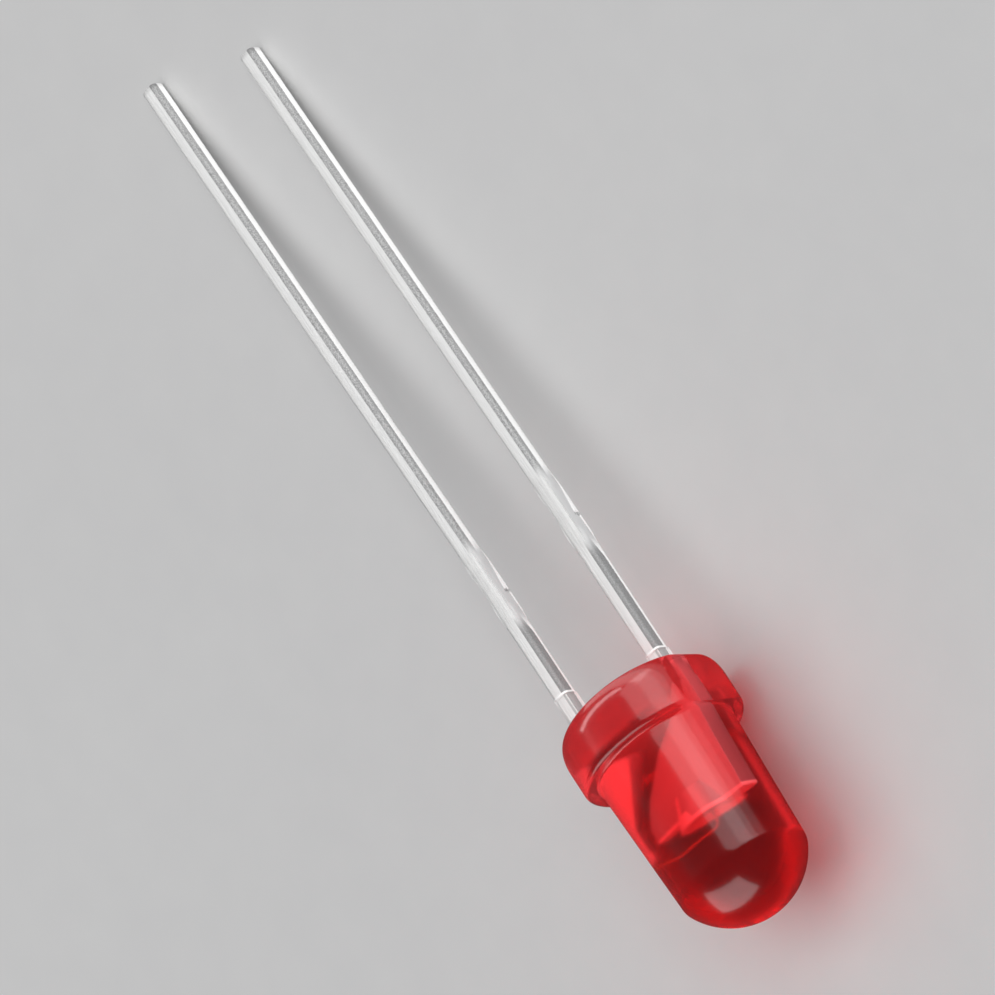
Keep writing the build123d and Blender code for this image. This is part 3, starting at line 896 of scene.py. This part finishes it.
stageLook = dict(
    floorHalf=8.0, floorPale=(0.80, 0.80, 0.79, 1.0), floorShade=(0.76, 0.76, 0.755, 1.0), floorRough=0.5,
    patchScale=60.0, speckScale=900.0,
    # painted shadow seen through the glass: dark near the diode, pale further out
    nearInGlass=(0.05, 0.05, 0.05, 1.0), farInGlass=(0.85, 0.85, 0.85, 1.0), glassReach=(0.008, 0.045),
    floorInGloss=(0.06, 0.06, 0.06, 1.0), farInGloss=(0.85, 0.85, 0.85, 1.0),  # painted shadow in reflections: dark near the diode, pale far
    besideY=(0.0118, 0.0142), besideX=(0.0105, 0.0085), behindX=(-0.002, -0.007), behindY=(-0.014, -0.005),
    worldColour=(0.25, 0.25, 0.26, 1.0), worldInGloss=(0.05, 0.05, 0.05, 1.0),
    worldInGlass=(1.0, 1.0, 1.0, 1.0), target=Vector((0.004, 0.0, 0.0015)),
)
highlight = dict(reach=2.0, flagged=True, lighting=False, mirrored=True)  # seen in the gloss only
softLight = dict(reach=2.2, flagged=False, lighting=True, mirrored=False)  # leaves no highlight of its own
softboxes = [  # bearing is degrees from the dome towards the flat, about the lead frame's upright
    dict(highlight, name="sideSoftbox", bearing=114.0, rise=26.0, width=1.736, height=1.9, radiance=1.1),
    dict(highlight, name="sideCore", bearing=114.0, rise=20.0, width=1.736, height=0.72, radiance=0.65),
    dict(highlight, name="frontSoftbox", bearing=-25.0, rise=20.5, width=2.312, height=1.496, radiance=1.6),
    dict(softLight, name="sideFill", bearing=105.0, rise=22.0, width=1.8, height=1.8, radiance=4.2,
         flagged=True),
    dict(highlight, name="backSoftbox", bearing=168.0, rise=16.0, width=3.2, height=1.1, radiance=1.4),
    dict(highlight, name="rimStrip", bearing=190.0, rise=45.0, width=2.6, height=0.26, radiance=3.4),
    dict(softLight, name="topFill", bearing=-120.0, rise=78.0, width=2.4, height=2.4, radiance=1.3,
         reach=2.4),
    dict(softLight, name="highFill", bearing=100.0, rise=60.0, width=1.6, height=1.6, radiance=1.3),
]
photoView = dict(
    tilt=22.33, turn=34.55, roll=33.0, pixelsPerMm=48.15, basePixel=(638.0, 708.4), frame=995,
    lens=1600.0, sensor=36.0, clipStart=0.01, clipEnd=20.0,
)


def makeFloor(look):
    finish, tree, skin, out = newFinish("paleFloor")
    coords = addNode(tree, "ShaderNodeTexCoord").outputs["Object"]
    grain = useGroup(tree, speckle, Vector=coords,
                     PatchScale=look["patchScale"], SpeckScale=look["speckScale"])
    colour = mixColour(tree, grain["Value"], look["floorPale"], look["floorShade"])
    rays = addNode(tree, "ShaderNodeLightPath").outputs
    x, y, z = splitUp(tree, coords)
    # painted shadow seen in reflections: dark near the diode, pale beside and behind it
    beside = times(tree, stepUp(tree, y, *look["besideY"]), stepUp(tree, x, *look["besideX"]))
    behind = times(tree, stepUp(tree, x, *look["behindX"]), stepUp(tree, y, *look["behindY"]))
    inGloss = mixColour(tree, calc(tree, "MAXIMUM", beside, behind), look["floorInGloss"], look["farInGloss"])
    colour = mixColour(tree, rays["Is Glossy Ray"], colour, inGloss)
    # painted shadow seen through the glass: dark near the diode, pale further out
    away = feedAll(tree, addNode(tree, "ShaderNodeVectorMath", operation="LENGTH"), coords)["Value"]
    farOut = stepUp(tree, away, *look["glassReach"])
    inGlass = mixColour(tree, farOut, look["nearInGlass"], look["farInGlass"])
    colour = mixColour(tree, rays["Is Transmission Ray"], colour, inGlass)
    fill(tree, skin, BaseColor=colour, Roughness=look["floorRough"])
    half = look["floorHalf"]
    mesh = bpy.data.meshes.new("floor")
    corners = [(-half, -half, 0), (half, -half, 0), (half, half, 0), (-half, half, 0)]
    mesh.from_pydata(corners, [], [(0, 1, 2, 3)])
    mesh.materials.append(finish)
    putObject("floor", mesh)


def addSoftbox(look, box):
    bearing, rise = math.radians(box["bearing"]), math.radians(box["rise"])
    flatDome = Vector((axisDome.x, axisDome.y, 0.0)).normalized()
    flatSide = Vector((0.0, 0.0, 1.0)).cross(flatDome)
    level = flatDome * math.cos(bearing) + flatSide * math.sin(bearing)
    way = level * math.cos(rise) + Vector((0.0, 0.0, math.sin(rise)))
    lamp = bpy.data.lights.new(box["name"], "AREA")
    lamp.shape = "RECTANGLE"
    lamp.size, lamp.size_y = box["width"], box["height"]
    lamp.energy = box["radiance"] * math.pi * box["width"] * box["height"]
    holder = putObject(box["name"], lamp)
    if not box["mirrored"]:
        holder.visible_glossy = False
        holder.visible_transmission = False
    holder.visible_diffuse = box["lighting"]
    if box["flagged"]:  # kept off the floor, so that it stays dark under the lens
        holder.light_linking.receiver_collection = dressed
    facing = way.to_track_quat("Z", "Y").to_matrix().to_4x4()
    holder.matrix_world = Matrix.Translation(look["target"] + way * box["reach"]) @ facing


def makeWorld(look):
    world = bpy.data.worlds.new("studio")
    world.use_nodes = True
    tree = world.node_tree
    rays = addNode(tree, "ShaderNodeLightPath").outputs
    around = mixColour(tree, rays["Is Glossy Ray"], look["worldColour"], look["worldInGloss"])
    around = mixColour(tree, rays["Is Transmission Ray"], around, look["worldInGlass"])
    feed(tree, tree.nodes["Background"].inputs["Color"], around)
    scene.world = world


def addCamera(view):
    tilt, turn, roll = (math.radians(view[key]) for key in ("tilt", "turn", "roll"))
    across = axisFlat * math.cos(turn) - axisFace * math.sin(turn)
    nearSide = axisFlat * math.sin(turn) + axisFace * math.cos(turn)
    back = axisDome * math.sin(tilt) + nearSide * math.cos(tilt)
    along = axisDome * math.cos(tilt) - nearSide * math.sin(tilt)
    right = along * math.sin(roll) + across * math.cos(roll)
    up = across * math.sin(roll) - along * math.cos(roll)
    half = view["frame"] / 2
    shiftRight, shiftDown = ((half - pixel) / view["pixelsPerMm"] * mm for pixel in view["basePixel"])
    middle = seatCentre + right * shiftRight - up * shiftDown
    reach = view["lens"] / view["sensor"] * view["frame"] / view["pixelsPerMm"] * mm
    lensData = bpy.data.cameras.new("photoCamera")
    lensData.lens, lensData.sensor_width = view["lens"], view["sensor"]
    lensData.clip_start, lensData.clip_end = view["clipStart"], view["clipEnd"]
    camera = putObject("photoCamera", lensData)
    aim = Matrix((right, up, back)).transposed().to_4x4()
    camera.matrix_world = Matrix.Translation(middle + back * reach) @ aim
    scene.camera = camera


makeFloor(stageLook)
for box in softboxes:
    addSoftbox(stageLook, box)
makeWorld(stageLook)
addCamera(photoView)
print("floor, light and camera set")
